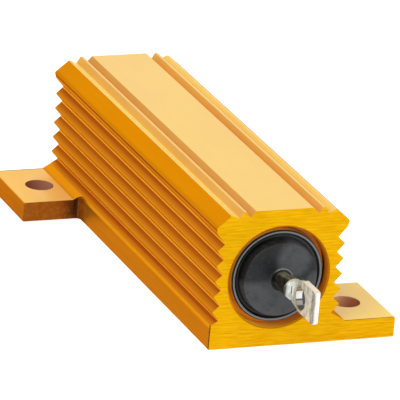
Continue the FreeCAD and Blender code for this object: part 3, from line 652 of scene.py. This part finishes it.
class Tin(Finish):
    """Tinned metal: a post painted dark with its reflection of the moulding, a bright pressed shoulder and a
    satin, specked blade with an eye.
    """

    def __init__(self):
        super().__init__("tinned")
        self.cloud = self.noise(TIN_CLOUDS, detail=5, roughness=0.65)
        self.stains = self.noise(TIN_STAINS, detail=4)
        self.past_tip = self.beyond(self.reach, TERMINAL_REACH)

    def paint_blade(self):
        """The blade's broad sides and top, worn near the tip and folded at the neck, with a painted highlight
        on the faces that look up.
        """
        self.colour = self.blend(self.ramp(self.cloud, *TIN_CLOUDY), BLADE_DULL, BLADE_BRIGHT)
        specks = self.ramp(self.noise(TIN_SPECKS), *TIN_SPECKLED)
        self.paint(self.times(specks, TIN_SPECKS_STRENGTH), BLADE_SPECK)
        near_tip = self.within(self.past_tip, -6 * FADE, -2 * FADE, 1.2 * FADE)
        self.paint(self.times(near_tip, self.ramp(self.stains, *TIN_WORN, *WORN_STRENGTH)), BLADE_WORN)
        # A painted highlight on the faces that look up.
        self.paint(self.ramp(self.look_up, *FACING_BLADE_TOP), BLADE_TOP_HIGHLIGHT)
        fold = self.within(self.reach, *FOLD, FADE / 2)
        self.paint(self.times(fold, self.ramp(self.above, -5 * FADE, 0)), BLADE_FOLD)

    def paint_ends(self):
        """The faces that look along the terminal: the pressed shoulder with painted shade on its outer part,
        its slit and the blade's cut tip.
        """
        pressed = self.blend(self.ramp(self.cloud, *TIN_PRESSED), PRESSED_DULL, PRESSED_BRIGHT)
        slit = self.times(self.within(self.side, *SLIT_OUT, 2 * NEARLY),
                          self.within(self.above, *SLIT_UP, FADE))
        pressed = self.blend(slit, pressed, SLIT)
        # Painted shade on the pressed shoulder's outer part, where it meets the post.
        pressed = self.blend(self.ramp(self.side, *PRESSED_RIM), pressed, PRESSED_EDGE_SHADE)
        # The cut tip darker towards its left, with a ragged edge.
        ragged = self.plus(self.right, self.times(self.stains, RAGGEDNESS))
        cut = self.blend(self.ramp(ragged, FADE, -2.2 * FADE), CUT_BRIGHT, CUT_DARK_EDGE)
        at_tip = self.ramp(self.past_tip, -4 * FADE, -3 * FADE)
        self.paint(self.ramp(self.size(self.look_along), *FACING_ALONG), self.blend(at_tip, pressed, cut))

    def paint_post(self):
        """The round post, painted dark for its reflection of the black moulding and mottled by stains, with a
        painted highlight on top.
        """
        # The post painted dark for its reflection of the black moulding, mottled by stains, with a painted
        # highlight where it looks up.
        post = self.blend(self.ramp(self.stains, *POST_STAINED), POST_DARK, POST_LIGHT)
        top = self.blend(self.ramp(self.stains, *POST_TOP_STAINED), POST_HIGHLIGHT_DULL, POST_HIGHLIGHT_BRIGHT)
        on_post = self.ramp(self.reach, POST_END + NEARLY, POST_END - NEARLY)
        self.paint(on_post, self.blend(self.ramp(self.look_up, *FACING_POST_TOP), post, top))

    def paint_eye(self):
        """The eye's wall, with painted light in its middle and painted shade above and below, and the brown
        round it.
        """
        up = self.beyond(self.height, EYE_HEIGHT)
        from_eye = self.distance(self.beyond(self.reach, EYE_ALONG), up)
        # Painted light in the middle of the eye's wall and painted shade above and below.
        inside = self.blend(self.ramp(up, 3.5 * FADE, 6 * FADE), EYE_BRIGHT, EYE_ROOF)
        inside = self.blend(self.within(up, 7 * FADE, 9.5 * FADE, 1.2 * FADE), inside, EYE_ROOF_LINE)
        inside = self.blend(self.ramp(up, -3.5 * FADE, -5 * FADE), inside, EYE_FLOOR)
        inside = self.blend(self.within(up, -9.5 * FADE, -6.5 * FADE, FADE), inside, EYE_FLOOR_LINE)
        # Browner round the eye on its side towards the post.
        browned = self.times(self.ramp(from_eye, EYE_RADIUS + 4.5 * FADE, EYE_RADIUS, 0, EYE_BROWN_STRENGTH),
                             self.ramp(self.reach, EYE_ALONG + 2 * FADE, EYE_ALONG - 5 * FADE))
        self.paint(browned, EYE_BROWN)
        self.paint(self.ramp(from_eye, EYE_RADIUS + 2 * NEARLY, EYE_RADIUS + NEARLY), inside)


def make_tin():
    """The terminals' finish."""
    tin = Tin()
    tin.paint_blade()
    tin.paint_ends()
    tin.paint_post()
    tin.paint_eye()
    tin.give(Base_Color=tin.colour, Metallic=TIN_METALLIC,
             Roughness=tin.ramp(tin.cloud, *CLOUDY, *TIN_ROUGHNESS))
    tin.bump(tin.cloud, TIN_RELIEF)
    return tin.material


def make_sealed(name, colour, metallic, roughness):
    """The finish of a piece that is sealed inside the moulding."""
    shade = Shade(name)
    grain = shade.ramp(shade.noise(SEALED_GRAIN), *CLOUDY)
    darker = tuple(part * GRAIN_SHADE for part in colour)
    shade.give(Base_Color=shade.blend(grain, darker, colour), Metallic=metallic, Roughness=roughness)
    return shade.material


def round_corners(corners):
    """An outline's points, each corner turned into an arc. A corner is its two places and its rounding."""
    points = []
    for i, (across, along, rounding) in enumerate(corners):
        corner = Vector((across, along))
        ends = []
        for other in (corners[i - 1], corners[(i + 1) % len(corners)]):
            towards = Vector(other[:2]) - corner
            ends.append(corner + towards.normalized() * min(rounding, towards.length / 2))
        for step in range(ARC_STEPS + 1):
            part = step / ARC_STEPS
            points.append(ends[0] * (1 - part) ** 2 + corner * 2 * part * (1 - part) + ends[1] * part ** 2)
    return points


def make_moulding(finish):
    """The moulding as its mould turns it out, with eased edges on its lip, trough, button and collar."""
    end = [
        (POST_HOLE, CAVITY_END, SHARP),
        (POST_HOLE, COLLAR_FOOT, SHARP),
        (COLLAR_INNER, COLLAR_FOOT, SHARP),
        (COLLAR_MIDDLE, COLLAR_CREST, EASED),
        (COLLAR_OUTER, COLLAR_FOOT, EASED),
        (BUTTON_EDGE, BUTTON_FACE, BUTTON_ROUND),
        (BUTTON_FOOT, TROUGH_FLOOR, EASED),
        (TROUGH_OUTER, TROUGH_FLOOR, LIP_ROUND),
        (LIP_INNER, LIP_CREST, LIP_ROUND),
        (LIP_OUTER, LIP_CREST, LIP_ROUND),
        (LIP_FOOT, GAP_FLOOR, EASED),
        (MOULDING_RADIUS, GAP_FLOOR, SHARP),
    ]
    corners = [(CAVITY_RADIUS, CAVITY_END, SHARP)] + end
    corners += [(across, -along, rounding) for across, along, rounding in reversed(corners)]
    outline = round_corners(corners)
    shape = bmesh.new()
    rings = []
    for step in range(TURN_STEPS):
        angle = 2 * math.pi * step / TURN_STEPS
        across, up = math.cos(angle), math.sin(angle)
        places = [(point.x * across, point.y, BORE_HEIGHT + point.x * up) for point in outline]
        rings.append([shape.verts.new(place) for place in places])
    for ring, following in zip(rings, rings[1:] + rings[:1]):
        for i in range(len(outline)):
            j = (i + 1) % len(outline)
            shape.faces.new((ring[i], ring[j], following[j], following[i]))
    bmesh.ops.recalc_face_normals(shape, faces=shape.faces)
    mesh = bpy.data.meshes.new("turned_moulding")
    shape.to_mesh(mesh)
    shape.free()
    mesh.shade_smooth()
    mesh.materials.append(finish)
    piece = bpy.data.objects.new("turned_moulding", mesh)
    bpy.context.scene.collection.objects.link(piece)
    normals = piece.modifiers.new("flat_rings", "WEIGHTED_NORMAL")
    normals.weight = 100
    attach(piece, "root")
    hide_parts("moulding")


def make_floor():
    """A pale floor that the camera and reflections see as white, with the resistor's shadow kept."""
    mesh = bpy.data.meshes.new("floor")
    half = FLOOR_SIZE / 2
    corners = [(-half, -half, 0), (half, -half, 0), (half, half, 0), (-half, half, 0)]
    mesh.from_pydata(corners, [], [(0, 1, 2, 3)])
    floor = bpy.data.objects.new("floor", mesh)
    bpy.context.scene.collection.objects.link(floor)
    shade = Shade("floor")
    path = shade.add("ShaderNodeLightPath").outputs
    seen = shade.most(path["Is Camera Ray"], path["Is Glossy Ray"], path["Is Transmission Ray"])
    shade.give(Base_Color=FLOOR_COLOUR, Roughness=1.0, Specular_IOR_Level=0.0, Emission_Color=WHITE,
               Emission_Strength=shade.times(seen, FLOOR_LIFT))
    mesh.materials.append(shade.material)


def make_sky():
    """Even pale light from all round."""
    world = bpy.data.worlds.new("studio")
    world.use_nodes = True
    bpy.context.scene.world = world
    sky = world.node_tree.nodes["Background"]
    sky.inputs["Color"].default_value = (*WHITE, 1)
    sky.inputs["Strength"].default_value = SKY_STRENGTH


gold, black, tin = make_gold(), make_black(), make_tin()
steel = make_sealed("cap_steel", *CAP_STEEL)
FINISHES = {
    "housing": gold,
    "moulding": black,
    "ceramic_core": make_sealed("ceramic", *CERAMIC),
    "resistance_winding": make_sealed("resistance_ribbon", *RIBBON),
    "end_cap_front": steel,
    "end_cap_rear": steel,
    "terminal_front": tin,
    "terminal_rear": tin,
}
for node, finish in FINISHES.items():
    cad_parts[node].data.materials[0] = finish

make_moulding(black)
make_camera()
make_sky()
make_floor()
make_lamp("back_lamp", azimuth=156, elevation=24, distance=0.6, size=0.45, radiance=1.05)
make_lamp("left_lamp", azimuth=-75, elevation=48, distance=0.6, size=0.5, radiance=2.8)
make_lamp("front_lamp", azimuth=10, elevation=20, distance=0.7, size=0.5, radiance=1.25)
bpy.context.scene.view_settings.view_transform = "Standard"
